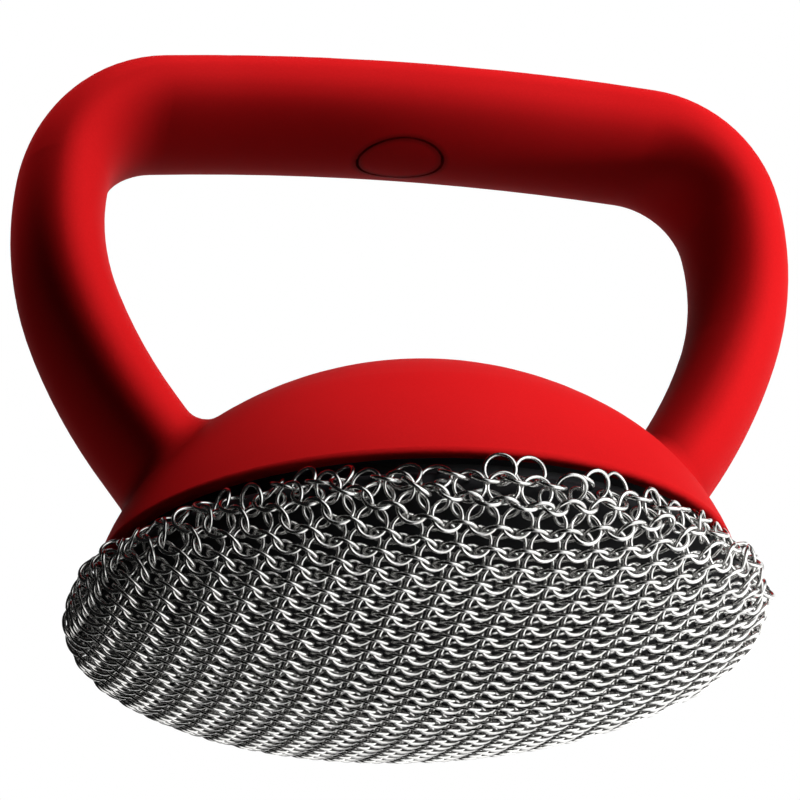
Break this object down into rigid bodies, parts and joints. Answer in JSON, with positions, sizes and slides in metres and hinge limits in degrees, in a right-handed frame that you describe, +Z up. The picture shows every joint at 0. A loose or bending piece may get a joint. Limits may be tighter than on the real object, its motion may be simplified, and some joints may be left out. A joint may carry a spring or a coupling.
{
  "type": "pot scrubber",
  "caption": "Round chain-mail pot scrubber: linked steel rings over a crowned black cushion under a red domed base with a wide loop handle.",
  "frame": {"origin": "on the axis of the round base, at the level where the lowest rings touch the table", "axes": "+Z up through the dome and the bar, +X along the bar of the loop handle, +Y through the loop"},
  "size_m": [0.1294, 0.1137, 0.1111],
  "materials": {
    "red_grip": "soft-touch moulded skin, matt",
    "red_plug": "matt, flush, blank",
    "core_nylon": "moulded, hidden",
    "black_plate": "moulded, fine matt",
    "screw_steel": "zinc plated, hidden",
    "black_silicone": "satin silicone",
    "mail_steel": "drawn and tumbled stainless wire"
  },
  "bodies": {
    "root": {"handle_core": "core_nylon", "handle_grip": "red_grip", "grip_plug": "red_plug", "base_plate": "black_plate", "plate_screws": "screw_steel", "cushion_pad": "black_silicone", "mail_course_01": "mail_steel", "mail_course_02": "mail_steel", "mail_course_03": "mail_steel", "mail_course_04": "mail_steel", "mail_course_05": "mail_steel", "mail_course_06": "mail_steel", "mail_course_07": "mail_steel", "mail_course_08": "mail_steel", "mail_course_09": "mail_steel", "mail_course_10": "mail_steel", "mail_course_11": "mail_steel", "mail_course_12": "mail_steel", "mail_course_13": "mail_steel", "mail_course_14": "mail_steel", "mail_course_15": "mail_steel", "mail_course_16": "mail_steel", "mail_course_17": "mail_steel", "mail_course_18": "mail_steel", "mail_course_19": "mail_steel", "mail_course_20": "mail_steel", "mail_course_21": "mail_steel", "mail_course_22": "mail_steel", "mail_course_23": "mail_steel", "mail_course_24": "mail_steel", "mail_course_25": "mail_steel", "mail_course_26": "mail_steel", "mail_course_27": "mail_steel", "mail_course_28": "mail_steel", "mail_course_29": "mail_steel", "mail_course_30": "mail_steel", "mail_course_31": "mail_steel", "mail_course_32": "mail_steel", "mail_course_33": "mail_steel", "mail_course_34": "mail_steel"}
  },
  "joints": []
}
